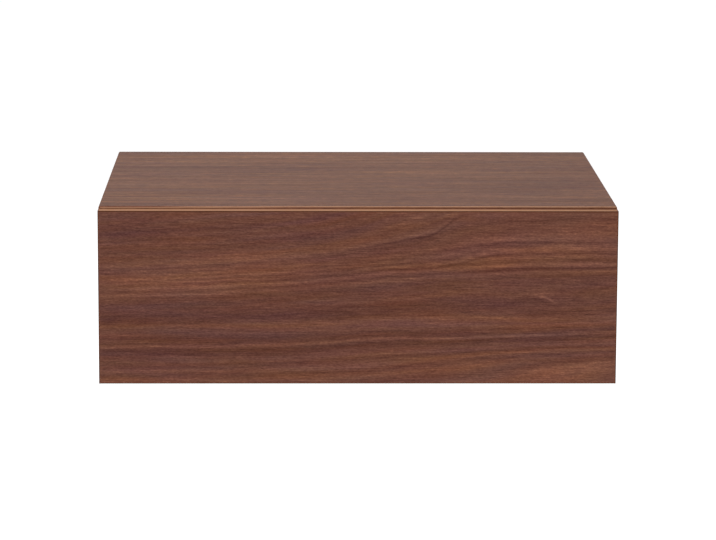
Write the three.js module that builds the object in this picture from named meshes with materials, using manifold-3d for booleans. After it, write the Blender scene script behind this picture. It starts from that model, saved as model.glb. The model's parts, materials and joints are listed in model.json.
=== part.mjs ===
// A floating nightstand: a mitred, walnut-veneered case that hooks on a bevelled wall cleat,
// with one dovetailed drawer on a pair of full-extension ball-bearing slides.
// Millimetres. +X is right, -Y is the front, +Z is up, and the wall is the plane y = 0.
// The origin is the centre of the wall cleat's back face.
import * as THREE from 'three';
import { mergeVertices } from 'three/addons/utils/BufferGeometryUtils.js';
import Module from 'manifold-3d';

const wasm = await Module();
wasm.setup();

// Overall size
const width = 450;
const height = 154;
const depth = 350;

// Case boards and their edge strips
const boardThickness = 16;
const boardArris = 1.2;
const bandThickness = 1;
const mitreGlue = 0.1;
const splineThickness = 3;
const splineWidth = 12;
const splineFromInside = 8;
const splineSetback = 20;

// Back panel and the recess behind it
const recessDepth = 20;
const panelThickness = 6;
const panelGroove = 6;

// Bevelled cleats
const cleatThickness = 18;
const cleatHookHeight = 48;
const wallCleatHeight = 45;
const wallCleatEndRoom = 29;
const cleatBearing = 0.3;
const wallScrewHole = 5;
const wallScrewSink = 10;
const wallScrewSinkDepth = 3;
const wallScrewCount = 4;
const wallScrewEndInset = 30;
const wallScrewRise = 20;

// Drawer front
const frontThickness = 12;
const frontDrop = 2;
const frontGap = 2;
const frontEase = 0.4;
const fingerEndInset = 85;
const fingerFrontRadius = 7;
const fingerCaseRadius = 10;

// Drawer box
const boxThickness = 12;
const boxFloorGap = 9;
const boxTopGap = 13;
const bottomThickness = 5;
const bottomGroove = 6;
const bottomRise = 10;
const tailCount = 4;
const pinTip = 6;
const pinFlare = 1.7;

// Slides
const slideBackRoom = 8;
const slideThickness = 12.7;
const slideHeight = 45.6;
const slideSetback = 2;
const slideSheet = 1.2;
const slideBend = 1.6;
const slideRearStop = 8;
const rearStopHeight = 16;
const rearStopDepth = 7;
const ballDiameter = 3.2;
const ballRun = 0.2;
const ballPitch = 22;
const ballCount = 6;
const ballStepAngle = 50;
const outerBallInset = 5.4;
const cageSheet = 0.6;
const cageBend = 0.8;
const cageEndRoom = 8;
const cageLip = 1;
const outerCageInset = 1.9;
const innerCageInset = 4.5;
const intermediateInset = 3.2;
const slotLength = 26;
const slotHeight = 12;
const slotInset = 48;

// Fasteners and pads
const slideScrew = { shank: 3.5, length: 13, head: 7, headHeight: 1.1, tip: 2, inset: 32 };
const drawerScrew = { shank: 3.5, length: 11, head: 7, headHeight: 2.2, tip: 2, inset: 40 };
const cleatScrew = { shank: 4, length: 20, head: 8, headHeight: 2.4, tip: 3, endInset: 44, drop: 12 };
const frontScrew = { shank: 4, length: 20, head: 9, headHeight: 2.4, tip: 2, sideInset: 76, inset: 24 };
const cleatScrewCount = 4;
const bumperDiameter = 8;
const bumperInset = 22;

// Clearances
const fitGap = 0.3;
const slideFit = 0.15;
const jointFit = 0.1;
const overrun = 5;

// Facets
const roundSides = 16;
const screwSides = 12;
const bendSteps = 4;
const ballSides = 8;
const ballRings = 4;

// Planes that the pieces share
const caseFront = -(depth - frontThickness - frontGap);
const bandBack = caseFront + bandThickness;
const frontBack = caseFront - frontGap;
const frontFace = frontBack - frontThickness;
const frontTop = height - frontDrop;
const innerHalf = width / 2 - boardThickness;
const caseInnerTop = height - boardThickness;
const panelBack = -recessDepth;
const panelFront = panelBack - panelThickness;
const hookTip = caseInnerTop - cleatHookHeight;
const hookBack = panelBack + cleatThickness;
const cleatBevel = hookTip + hookBack - cleatBearing;
const wallCleatTop = cleatBevel;
const wallCleatBottom = wallCleatTop - wallCleatHeight;
const wallCleatMiddle = (wallCleatTop + wallCleatBottom) / 2;
const boxOuter = innerHalf - slideThickness - slideFit - slideFit;
const boxInner = boxOuter - boxThickness;
const boxBottom = boardThickness + boxFloorGap;
const boxTop = caseInnerTop - boxTopGap;
const boxHeight = boxTop - boxBottom;
const boxFront = frontBack;
const boxFrontInside = boxFront + boxThickness;
const slideFront = caseFront + slideSetback;
const slideBack = panelFront - slideBackRoom;
const slideLength = slideBack - slideFront;
const slideMiddle = (slideFront + slideBack) / 2;
const boxBack = slideBack;
const boxBackInside = boxBack - boxThickness;
const slideAxisHeight = (boxBottom + boxTop) / 2;

// Finishes
const finishes = {
  topVeneer: { color: 0x7a5a4c, roughness: 0.42, metalness: 0 },
  veneer: { color: 0x6b4636, roughness: 0.45, metalness: 0 },
  edgeStrip: { color: 0x9b7257, roughness: 0.5, metalness: 0 },
  softwood: { color: 0xc9a877, roughness: 0.7, metalness: 0 },
  plywood: { color: 0xd8bf94, roughness: 0.6, metalness: 0 },
  drawerWood: { color: 0xdcc49c, roughness: 0.5, metalness: 0 },
  zinc: { color: 0xb4b8bd, roughness: 0.35, metalness: 1 },
  cage: { color: 0x8f9499, roughness: 0.3, metalness: 1 },
  plastic: { color: 0x1c1d1f, roughness: 0.55, metalness: 0 },
  silicone: { color: 0xd9d9d6, roughness: 0.6, metalness: 0 },
};

// Solids

function solid(geometry) {
  geometry.deleteAttribute('normal');
  geometry.deleteAttribute('uv');
  const merged = mergeVertices(geometry);
  const mesh = new wasm.Mesh({
    numProp: 3,
    vertProperties: new Float32Array(merged.attributes.position.array),
    triVerts: new Uint32Array(merged.index.array),
  });
  return new wasm.Manifold(mesh);
}

function cut(body, ...tools) {
  return tools.reduce((rest, tool) => rest.subtract(tool), body);
}

function join(body, ...others) {
  return others.reduce((whole, other) => whole.add(other), body);
}

function geometryOf(body) {
  const { vertProperties, triVerts } = body.getMesh();
  const geometry = new THREE.BufferGeometry();
  geometry.setAttribute('position', new THREE.BufferAttribute(new Float32Array(vertProperties), 3));
  geometry.setIndex(new THREE.BufferAttribute(new Uint32Array(triVerts), 1));
  geometry.computeVertexNormals();
  return geometry;
}

// A box between two corners, whose faces lie exactly on the planes given, so that neighbours can touch.
function block([x0, y0, z0], [x1, y1, z1]) {
  const geometry = new THREE.BoxGeometry(1, 1, 1);
  const place = geometry.attributes.position;
  for (let i = 0; i < place.count; i += 1) {
    place.setXYZ(
      i,
      place.getX(i) < 0 ? x0 : x1,
      place.getY(i) < 0 ? y0 : y1,
      place.getZ(i) < 0 ? z0 : z1,
    );
  }
  return solid(geometry);
}

// An outline carried along one axis between two planes. Its points are (y, z) for an outline carried
// along x, (x, z) along y and (x, y) along z.
function prism(outline, axis, from, to) {
  const shape = new THREE.Shape(outline.map(([a, b]) => new THREE.Vector2(a, b)));
  const geometry = new THREE.ExtrudeGeometry(shape, { depth: 1, bevelEnabled: false });
  const place = geometry.attributes.position;
  const laid = {
    x: (a, b, far) => [far ? to : from, a, b],
    y: (a, b, far) => [a, far ? from : to, b],
    z: (a, b, far) => [a, b, far ? to : from],
  };
  for (let i = 0; i < place.count; i += 1) {
    place.setXYZ(i, ...laid[axis](place.getX(i), place.getY(i), place.getZ(i) > 0));
  }
  return solid(geometry);
}

function arc([a, b], radius, fromDegrees, toDegrees, steps) {
  return Array.from({ length: steps + 1 }, (_, i) => {
    const angle = THREE.MathUtils.degToRad(fromDegrees + ((toDegrees - fromDegrees) * i) / steps);
    return [a + radius * Math.cos(angle), b + radius * Math.sin(angle)];
  });
}

// A round hole whose flats, not its corners, clear the radius.
function circle(centre, radius, sides = roundSides) {
  return arc(centre, radius / Math.cos(Math.PI / sides), 0, 360, sides).slice(1);
}

function stadium([a, b], length, tall) {
  const straight = (length - tall) / 2;
  return [
    ...arc([a + straight, b], tall / 2, -90, 90, roundSides / 2),
    ...arc([a - straight, b], tall / 2, 90, 270, roundSides / 2),
  ];
}

// A countersink along y: a cone that is widest at its mouth.
function sinkAlongY([x, y, z], holeRadius, mouthRadius, sinkDepth) {
  const profile = [[0, 0], [mouthRadius, 0], [holeRadius, sinkDepth], [0, sinkDepth]];
  const points = profile.map(([r, along]) => new THREE.Vector2(r, along));
  return solid(new THREE.LatheGeometry(points, roundSides)).translate([x, y, z]);
}

// The body of a bent sheet: a path offset by half the sheet's thickness to each side.
function sheetOutline(path, thickness) {
  const sides = [1, -1].map((side) => path.map(([a, b], i) => {
    const [a0, b0] = path[Math.max(i - 1, 0)];
    const [a1, b1] = path[Math.min(i + 1, path.length - 1)];
    const run = Math.hypot(a1 - a0, b1 - b0);
    return [a - (side * (b1 - b0) * thickness) / 2 / run, b + (side * (a1 - a0) * thickness) / 2 / run];
  }));
  return [...sides[0], ...sides[1].reverse()];
}

// A section that is the same below its middle as above: the path runs from the middle to the upper lip.
function mirroredPath(upper) {
  const lower = upper.map(([a, b]) => [a, -b]).reverse();
  return [...lower, ...upper];
}

// A screw along y, head up, with the seat under its head at y = 0 and its point down.
// A countersunk head lies below the seat instead, flush with it.
function screwSolid({ shank, length, head, headHeight, tip }, countersunk) {
  const body = [[0, -length], [shank / 2, tip - length]];
  const panHead = [
    [shank / 2, 0],
    [head / 2, 0],
    [head / 2, headHeight / 2],
    [head / 3, headHeight],
    [0, headHeight],
  ];
  const flatHead = [[shank / 2, -headHeight - headHeight], [head / 2, 0], [0, 0]];
  const profile = [...body, ...(countersunk ? flatHead : panHead)];
  const points = profile.map(([r, along]) => new THREE.Vector2(r, along));
  return solid(new THREE.LatheGeometry(points, screwSides));
}

// Places from one end to the other of a row, evenly spaced and centred on the middle.
function evenly(count, half) {
  return Array.from({ length: count }, (_, i) => -half + (i * (half + half)) / (count - 1));
}

function piece(name, body, finish, parent) {
  const mesh = new THREE.Mesh(geometryOf(body), new THREE.MeshStandardMaterial(finishes[finish]));
  mesh.name = name;
  parent.add(mesh);
  return mesh;
}

// Heights below are from the underside of the case, so the whole hangs from the cleat's middle.
const nightstand = new THREE.Group();
nightstand.position.z = -wallCleatMiddle;

const carcase = new THREE.Group();
const drawer = new THREE.Group();
nightstand.add(carcase, drawer);

// Case: four boards mitred at the corners, their long arrises eased, seen as one section turned four ways

const caseMiddle = height / 2;

function turned(points, quarters) {
  const turns = [
    ([a, b]) => [a, caseMiddle + b],
    ([a, b]) => [b, caseMiddle - a],
    ([a, b]) => [-a, caseMiddle - b],
    ([a, b]) => [-b, caseMiddle + a],
  ];
  return points.map(turns[quarters]);
}

function mitredSection(halfLength, outer) {
  const inner = outer - boardThickness;
  const eased = outer - boardArris;
  const easedEnd = halfLength - boardArris;
  const innerEnd = halfLength - boardThickness;
  return [
    [-innerEnd, inner],
    [innerEnd, inner],
    ...arc([easedEnd, eased], boardArris, 45, 90, bendSteps / 2),
    ...arc([-easedEnd, eased], boardArris, 90, 135, bendSteps / 2),
  ];
}

const levelSection = mitredSection(width / 2 - mitreGlue, height / 2);
const uprightSection = mitredSection(height / 2, width / 2);
const caseSides = [
  { side: 'top', section: turned(levelSection, 0) },
  { side: 'right', section: turned(uprightSection, 1) },
  { side: 'bottom', section: turned(levelSection, 2) },
  { side: 'left', section: turned(uprightSection, 3) },
];

// A loose strip set square across each mitre, in a slot with glue room.
function splineSection(grow) {
  const along = splineWidth / 2 + grow;
  const across = splineThickness / 2 + grow;
  const middleX = innerHalf + splineFromInside * Math.SQRT1_2;
  const middleZ = height / 2 - boardThickness + splineFromInside * Math.SQRT1_2;
  return [[-along, -across], [along, -across], [along, across], [-along, across]].map(([a, b]) => [
    middleX + (a + b) * Math.SQRT1_2,
    middleZ + (b - a) * Math.SQRT1_2,
  ]);
}

const splineBack = panelFront - splineSetback;
const splineFront = caseFront + splineSetback;
const mirrorX = (points) => points.map(([x, z]) => [-x, z]);
const mirrorZ = (points) => points.map(([x, z]) => [x, -z]);
const splineCorners = [
  { corner: 'top_right', place: (points) => points },
  { corner: 'top_left', place: mirrorX },
  { corner: 'bottom_right', place: mirrorZ },
  { corner: 'bottom_left', place: (points) => mirrorX(mirrorZ(points)) },
];
const raised = (points) => points.map(([x, z]) => [x, caseMiddle + z]);
const splineSlots = splineCorners.map(({ place }) => prism(
  raised(place(splineSection(fitGap))),
  'y',
  splineFront - fitGap,
  splineBack + fitGap,
));
splineCorners.forEach(({ corner, place }) => {
  const strip = prism(raised(place(splineSection(0))), 'y', splineFront, splineBack);
  piece(`mitre_spline_${corner}`, strip, 'plywood', carcase);
});

// The back panel sits in a groove that runs round all four boards.
const panelHalf = innerHalf + panelGroove - fitGap;
const panelLow = boardThickness - panelGroove + fitGap;
const panelHigh = caseInnerTop + panelGroove - fitGap;
const panelSlot = block(
  [-panelHalf - fitGap, panelFront - slideFit, panelLow - fitGap],
  [panelHalf + fitGap, panelBack + slideFit, panelHigh + fitGap],
);

// The finger groove: two facing hollows under the drawer front and the case bottom.
const fingerHalf = width / 2 - fingerEndInset;
const caseFingerHollow = prism(
  circle([caseFront, 0], fingerCaseRadius, roundSides + roundSides),
  'x',
  -fingerHalf,
  fingerHalf,
);

// Holes for the screws that hold the outer slide members to the case sides
const slideScrewSpots = [slideFront + slideScrew.inset, slideFront + slideLength - slideScrew.inset];
const slideScrewTip = innerHalf - slideFit - slideSheet + slideScrew.length + fitGap;
const sideScrewHoles = slideScrewSpots.map((y) => prism(
  circle([y, slideAxisHeight], slideScrew.shank / 2 + jointFit, screwSides),
  'x',
  -slideScrewTip,
  slideScrewTip,
));
const sideSinks = slideScrewSpots.map((y) => prism(
  circle([y, slideAxisHeight], slideScrew.head / 2, screwSides),
  'x',
  -innerHalf - slideScrew.headHeight,
  innerHalf + slideScrew.headHeight,
));

caseSides.forEach(({ side, section }) => {
  const board = cut(prism(section, 'y', bandBack, 0), panelSlot, ...splineSlots);
  const upright = side === 'left' || side === 'right';
  const drilled = upright ? cut(board, ...sideScrewHoles, ...sideSinks) : board;
  const finished = side === 'bottom' ? cut(drilled, caseFingerHollow) : drilled;
  piece(`case_${side}`, finished, side === 'top' ? 'topVeneer' : 'veneer', carcase);

  const strip = prism(section, 'y', caseFront, bandBack);
  const band = side === 'bottom' ? cut(strip, caseFingerHollow) : strip;
  piece(`case_band_${side}`, band, 'edgeStrip', carcase);
});

// Back panel and case cleat, screwed together from inside the case

const cleatScrewHeight = caseInnerTop - cleatScrew.drop;
const cleatScrewSpots = evenly(cleatScrewCount, innerHalf - cleatScrew.endInset);
const cleatScrewHoles = cleatScrewSpots.map((x) => prism(
  circle([x, cleatScrewHeight], cleatScrew.shank / 2 + jointFit, screwSides),
  'y',
  panelFront - overrun,
  panelFront + cleatScrew.length + fitGap,
));
const panel = block([-panelHalf, panelFront, panelLow], [panelHalf, panelBack, panelHigh]);
piece('back_panel', cut(panel, ...cleatScrewHoles), 'plywood', carcase);

const hookTop = caseInnerTop - fitGap;
const hookSection = [
  [hookBack, hookTip],
  [hookBack, hookTop],
  [panelBack, hookTop],
  [panelBack, hookTip + cleatThickness],
];
const hook = prism(hookSection, 'x', -innerHalf + fitGap, innerHalf - fitGap);
piece('case_cleat', cut(hook, ...cleatScrewHoles), 'softwood', carcase);

cleatScrewSpots.forEach((x, i) => {
  const screw = piece(`cleat_screw_${i + 1}`, screwSolid(cleatScrew, false), 'zinc', carcase);
  screw.position.set(x, panelFront, cleatScrewHeight);
  screw.rotation.x = Math.PI;
});

// Wall cleat: its bevel points up and forward, and the case cleat hooks behind it

const wallCleatSection = [
  [0, wallCleatBottom],
  [0, wallCleatTop],
  [-cleatThickness, wallCleatTop + cleatThickness],
  [-cleatThickness, wallCleatBottom],
];
const wallCleatHalf = innerHalf - wallCleatEndRoom;
const wallScrewSpots = evenly(wallScrewCount, wallCleatHalf - wallScrewEndInset);
const wallScrewHoles = wallScrewSpots.map((x) => prism(
  circle([x, wallCleatBottom + wallScrewRise], wallScrewHole / 2),
  'y',
  -cleatThickness - overrun,
  overrun,
));
const wallScrewSinks = wallScrewSpots.map((x) => sinkAlongY(
  [x, -cleatThickness, wallCleatBottom + wallScrewRise],
  wallScrewHole / 2,
  wallScrewSink / 2,
  wallScrewSinkDepth,
));
const wallCleat = prism(wallCleatSection, 'x', -wallCleatHalf, wallCleatHalf);
piece('wall_cleat', cut(wallCleat, ...wallScrewHoles, ...wallScrewSinks), 'softwood', carcase);

// Drawer front: a veneered core inside four edge strips, with a finger groove along its lower back edge

const coreHalf = width / 2 - bandThickness;
const coreTop = frontTop - bandThickness;
const frontFingerHollow = prism(
  circle([frontBack, 0], fingerFrontRadius, roundSides + roundSides),
  'x',
  -fingerHalf,
  fingerHalf,
);
const frontScrewSpots = [boxBottom + frontScrew.inset, boxTop - frontScrew.inset].flatMap(
  (z) => [[frontScrew.sideInset - boxOuter, z], [boxOuter - frontScrew.sideInset, z]],
);
const frontScrewHoles = frontScrewSpots.map((spot) => prism(
  circle(spot, frontScrew.shank / 2 + jointFit, screwSides),
  'y',
  boxFrontInside - frontScrew.length - fitGap,
  boxFrontInside + overrun,
));
const core = block([-coreHalf, frontFace, bandThickness], [coreHalf, frontBack, coreTop]);
piece('drawer_front', cut(core, frontFingerHollow, ...frontScrewHoles), 'veneer', drawer);

const levelStrip = (edge, inside) => {
  const outward = Math.sign(edge - inside);
  return prism(
    [
      [frontBack, inside],
      [frontBack, edge],
      [frontFace + frontEase, edge],
      [frontFace, edge - outward * frontEase],
      [frontFace, inside],
    ],
    'x',
    -coreHalf,
    coreHalf,
  );
};
const uprightStrip = (side) => prism(
  [
    [side * coreHalf, frontBack],
    [side * (width / 2), frontBack],
    [side * (width / 2), frontFace + frontEase],
    [side * (width / 2 - frontEase), frontFace],
    [side * coreHalf, frontFace],
  ],
  'z',
  0,
  frontTop,
);
piece('front_band_top', levelStrip(frontTop, coreTop), 'edgeStrip', drawer);
piece('front_band_bottom', cut(levelStrip(0, bandThickness), frontFingerHollow), 'edgeStrip', drawer);
piece('front_band_left', uprightStrip(-1), 'edgeStrip', drawer);
piece('front_band_right', uprightStrip(1), 'edgeStrip', drawer);

// Soft pads behind the front's corners, which meet the case's front edges

const bumperHeight = frontGap - fitGap;
const bumperAcross = width / 2 - boardThickness / 2;
[bumperInset, frontTop - bumperInset].forEach((z, row) => [-1, 1].forEach((side, column) => {
  const profile = [[0, 0], [bumperDiameter / 2, 0], [bumperDiameter / 3, bumperHeight], [0, bumperHeight]];
  const points = profile.map(([r, along]) => new THREE.Vector2(r, along));
  const pad = solid(new THREE.LatheGeometry(points, screwSides));
  const name = `bumper_${row ? 'upper' : 'lower'}_${column ? 'right' : 'left'}`;
  piece(name, pad, 'silicone', drawer).position.set(side * bumperAcross, frontBack, z);
}));

// Drawer box: sides with tails, sub-front and back with pins, and a bottom in grooves all round

const tailPitch = boxHeight / tailCount;

// The pins at one end of the box, as outlines in (y, z): narrow at the end face, wide inside.
function pinOutlines(endFace, inside, grow) {
  const deep = inside + Math.sign(inside - endFace) * grow;
  const mouth = endFace - Math.sign(inside - endFace) * grow;
  return Array.from({ length: tailCount + 1 }, (_, i) => {
    const middle = boxBottom + i * tailPitch;
    const low = (half) => (i ? middle - half - grow : boxBottom - grow);
    const high = (half) => (i < tailCount ? middle + half + grow : boxTop + grow);
    const narrow = pinTip / 2;
    const wide = narrow + pinFlare;
    return [
      [mouth, low(narrow)],
      [mouth, high(narrow)],
      [deep, high(wide)],
      [deep, low(wide)],
    ];
  });
}

const bottomLow = boxBottom + bottomRise;
const bottomHalf = boxInner + bottomGroove - fitGap;
const bottomFront = boxFrontInside - bottomGroove + fitGap;
const bottomBack = boxBackInside + bottomGroove - fitGap;
const bottomSlot = block(
  [-bottomHalf - fitGap, bottomFront - fitGap, bottomLow - slideFit],
  [bottomHalf + fitGap, bottomBack + fitGap, bottomLow + bottomThickness + slideFit],
);

const boxEnds = [
  { name: 'sub_front', endFace: boxFront, inside: boxFrontInside },
  { name: 'drawer_back', endFace: boxBack, inside: boxBackInside },
];
boxEnds.forEach(({ name, endFace, inside }) => {
  const near = Math.min(endFace, inside);
  const far = Math.max(endFace, inside);
  const panelBetween = block([-boxInner, near, boxBottom], [boxInner, far, boxTop]);
  const pins = pinOutlines(endFace, inside, 0).map((outline) => prism(outline, 'x', -boxOuter, boxOuter));
  const holes = name === 'sub_front' ? frontScrewHoles : [];
  piece(name, cut(join(panelBetween, ...pins), bottomSlot, ...holes), 'drawerWood', drawer);
});

const drawerScrewSpots = [slideFront + drawerScrew.inset, boxBack - slideRearStop - drawerScrew.inset];
[-1, 1].forEach((side) => {
  const outer = side * boxOuter;
  const inner = side * boxInner;
  const board = block(
    [Math.min(outer, inner), boxFront, boxBottom],
    [Math.max(outer, inner), boxBack, boxTop],
  );
  const sockets = boxEnds.flatMap(({ endFace, inside }) => pinOutlines(endFace, inside, jointFit).map(
    (outline) => prism(outline, 'x', Math.min(outer, inner) - overrun, Math.max(outer, inner) + overrun),
  ));
  const holes = drawerScrewSpots.map((y) => prism(
    circle([y, slideAxisHeight], drawerScrew.shank / 2 + jointFit, screwSides),
    'x',
    Math.min(outer, outer - side * (drawerScrew.length - slideSheet)),
    Math.max(outer, outer - side * (drawerScrew.length - slideSheet)),
  ));
  const name = side < 0 ? 'drawer_side_left' : 'drawer_side_right';
  piece(name, cut(board, bottomSlot, ...sockets, ...holes), 'drawerWood', drawer);
});

piece(
  'drawer_bottom',
  block([-bottomHalf, bottomFront, bottomLow], [bottomHalf, bottomBack, bottomLow + bottomThickness]),
  'plywood',
  drawer,
);

frontScrewSpots.forEach(([x, z], i) => {
  const screw = piece(`front_screw_${i + 1}`, screwSolid(frontScrew, false), 'zinc', drawer);
  screw.position.set(x, boxFrontInside, z);
});

// Slides. Each is worked out in its own frame: x from the case side towards the drawer, y along the
// slide from its middle, z up from its axis. The right one is the left one turned half round.

const ballRadius = ballDiameter / 2;
const raceway = ballRadius + ballRun + slideSheet / 2;
const outerFlange = slideHeight / 2 - slideSheet / 2;
const ballStep = THREE.MathUtils.degToRad(ballStepAngle);
const outerBall = [outerBallInset, outerFlange - raceway];
const innerBall = [
  outerBall[0] + (raceway + raceway) * Math.cos(ballStep),
  outerBall[1] - (raceway + raceway) * Math.sin(ballStep),
];
const innerWeb = slideThickness - slideSheet / 2;
const innerFlange = innerBall[1] - raceway;
const halfSlide = slideLength / 2;
const runnerEnd = halfSlide - slideRearStop;
const cageMiddle = (runnerEnd - halfSlide) / 2;

// The outer member: a channel whose lips curl round the outer balls.
const outerPath = mirroredPath([
  ...arc([slideSheet / 2 + slideBend, outerFlange - slideBend], slideBend, 180, 90, bendSteps),
  ...arc(outerBall, raceway, 90, 15, bendSteps),
]);

// The intermediate member: cups under the outer balls that run on into hoods over the inner balls.
const intermediateFlange = outerBall[1] - raceway;
const intermediatePath = mirroredPath([
  ...arc([intermediateInset + slideBend, intermediateFlange - slideBend], slideBend, 180, 90, bendSteps),
  ...arc(outerBall, raceway, 270, 360 - ballStepAngle, bendSteps - 1),
  ...arc(innerBall, raceway, 180 - ballStepAngle, 15, bendSteps + 1).slice(1),
]);

// The inner member: a channel that opens towards the case, with cups under the inner balls.
const innerPath = mirroredPath([
  ...arc([innerWeb - slideBend, innerFlange - slideBend], slideBend, 0, 90, bendSteps),
  ...arc(innerBall, raceway, 270, 215, bendSteps - 1),
]);

// A ball cage: a thin channel that passes through the balls' centres, between two members.
function cageSolid(inset, ball) {
  const path = mirroredPath([
    ...arc([inset + cageBend, ball[1] - cageBend], cageBend, 180, 90, bendSteps - 1),
    [ball[0] + cageLip, ball[1]],
  ]);
  const cageLength = runnerEnd - cageMiddle - cageEndRoom;
  const near = cageMiddle - cageLength / 2;
  const strip = prism(sheetOutline(path, cageSheet), 'y', near, near + cageLength);
  const rowStart = cageMiddle - (ballPitch * (ballCount - 1)) / 2;
  const balls = [-1, 1].flatMap((row) => Array.from({ length: ballCount }, (_, i) => solid(
    new THREE.SphereGeometry(ballRadius, ballSides, ballRings),
  ).translate([ball[0], rowStart + i * ballPitch, row * ball[1]])));
  const window = prism(
    stadium([cageMiddle, 0], cageLength - slotLength, slotHeight),
    'x',
    inset - overrun / 2,
    inset + cageSheet,
  );
  return cut(join(strip, ...balls), window);
}

// Openings in the webs, two to a member, which save sheet and give a screwdriver its way in.
function webSlots(web, near, far) {
  return [near + slotInset + slotLength, far - slotInset - slotLength].map((y) => prism(
    stadium([y, 0], slotLength, slotHeight),
    'x',
    web - slideSheet,
    web + slideSheet,
  ));
}

function webHoles(web, spots, radius) {
  return spots.map((y) => prism(circle([y, 0], radius), 'x', web - slideSheet, web + slideSheet));
}

function member(path, far, ...tools) {
  return cut(prism(sheetOutline(path, slideSheet), 'y', -halfSlide, far), ...tools);
}

const caseHoleSpots = slideScrewSpots.map((y) => y - slideMiddle);
const drawerHoleSpots = drawerScrewSpots.map((y) => y - slideMiddle);
const slideSides = [
  { side: 'left', sign: -1, turn: 0 },
  { side: 'right', sign: 1, turn: Math.PI },
];
slideSides.forEach(({ side, sign, turn }) => {
  const slide = new THREE.Group();
  slide.position.set(sign * (innerHalf - slideFit), slideMiddle, slideAxisHeight);
  slide.rotation.y = turn;
  nightstand.add(slide);

  const outerTools = [
    ...webSlots(slideSheet / 2, -halfSlide, halfSlide),
    ...webHoles(slideSheet / 2, caseHoleSpots, slideScrew.head / 2 + jointFit),
  ];
  const innerTools = [
    ...webSlots(innerWeb, -halfSlide, runnerEnd),
    ...webHoles(innerWeb, drawerHoleSpots, drawerScrew.shank / 2 + jointFit),
  ];
  const middleTools = webSlots(intermediateInset, -halfSlide, runnerEnd);
  piece(`slide_outer_${side}`, member(outerPath, halfSlide, ...outerTools), 'zinc', slide);
  piece(`slide_intermediate_${side}`, member(intermediatePath, runnerEnd, ...middleTools), 'zinc', slide);
  piece(`slide_inner_${side}`, member(innerPath, runnerEnd, ...innerTools), 'zinc', slide);
  piece(`ball_cage_outer_${side}`, cageSolid(outerCageInset, outerBall), 'cage', slide);
  piece(`ball_cage_inner_${side}`, cageSolid(innerCageInset, innerBall), 'cage', slide);

  const stop = block(
    [slideSheet, runnerEnd + fitGap, -rearStopHeight / 2],
    [slideSheet + rearStopDepth, halfSlide, rearStopHeight / 2],
  );
  piece(`slide_rear_stop_${side}`, stop, 'plastic', slide);

  caseHoleSpots.forEach((y, i) => {
    const screw = piece(`slide_case_screw_${side}_${i + 1}`, screwSolid(slideScrew, true), 'zinc', slide);
    screw.position.set(slideSheet, y, 0);
    screw.rotation.z = -Math.PI / 2;
  });
  drawerHoleSpots.forEach((y, i) => {
    const screw = piece(`slide_drawer_screw_${side}_${i + 1}`, screwSolid(drawerScrew, false), 'zinc', slide);
    screw.position.set(slideThickness - slideSheet, y, 0);
    screw.rotation.z = Math.PI / 2;
  });
});

nightstand.updateMatrixWorld(true);

export default nightstand;
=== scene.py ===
import json
import math

import bmesh
import bpy
import numpy as np
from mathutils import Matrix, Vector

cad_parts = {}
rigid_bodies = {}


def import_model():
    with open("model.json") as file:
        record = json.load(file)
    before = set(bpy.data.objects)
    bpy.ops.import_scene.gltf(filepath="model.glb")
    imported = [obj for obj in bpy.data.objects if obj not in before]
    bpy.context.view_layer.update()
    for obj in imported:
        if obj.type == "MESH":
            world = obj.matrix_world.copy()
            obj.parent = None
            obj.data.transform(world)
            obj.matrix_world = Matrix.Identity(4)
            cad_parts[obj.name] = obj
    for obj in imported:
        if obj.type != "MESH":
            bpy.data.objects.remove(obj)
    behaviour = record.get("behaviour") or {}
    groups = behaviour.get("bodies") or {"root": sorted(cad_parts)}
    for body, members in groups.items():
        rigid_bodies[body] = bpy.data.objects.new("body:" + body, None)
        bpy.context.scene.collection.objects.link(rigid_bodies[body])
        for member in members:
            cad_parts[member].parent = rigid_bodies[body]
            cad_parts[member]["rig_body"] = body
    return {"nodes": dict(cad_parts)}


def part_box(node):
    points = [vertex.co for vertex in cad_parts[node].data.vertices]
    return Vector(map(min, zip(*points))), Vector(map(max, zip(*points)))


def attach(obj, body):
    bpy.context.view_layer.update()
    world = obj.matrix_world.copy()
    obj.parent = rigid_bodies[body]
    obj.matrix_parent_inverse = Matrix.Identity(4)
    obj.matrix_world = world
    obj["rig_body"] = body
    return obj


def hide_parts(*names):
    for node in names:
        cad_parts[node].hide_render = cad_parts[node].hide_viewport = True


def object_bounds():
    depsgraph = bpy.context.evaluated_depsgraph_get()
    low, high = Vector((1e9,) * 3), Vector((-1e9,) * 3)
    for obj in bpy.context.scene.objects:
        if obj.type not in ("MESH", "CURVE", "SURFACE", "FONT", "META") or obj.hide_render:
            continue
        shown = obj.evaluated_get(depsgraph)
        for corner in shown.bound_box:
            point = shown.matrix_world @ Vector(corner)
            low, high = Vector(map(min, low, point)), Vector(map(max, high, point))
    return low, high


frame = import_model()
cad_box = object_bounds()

# Camera: a long lens in front of the hanging box, a little to its left, looking down on its top by
# about ten degrees, as the photograph does.
camera_place = (-0.0553, -3.1373, 0.5345)
camera_turn_degrees = (79.849, -0.224, -1.092)
camera_lens_mm = 164.52
lens = bpy.data.cameras.new("camera")
lens.lens = camera_lens_mm
camera = bpy.data.objects.new("camera", lens)
camera.location = camera_place
camera.rotation_euler = [math.radians(angle) for angle in camera_turn_degrees]
bpy.context.scene.collection.objects.link(camera)
bpy.context.scene.camera = camera
bpy.context.scene.view_settings.view_transform = "Standard"


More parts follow.
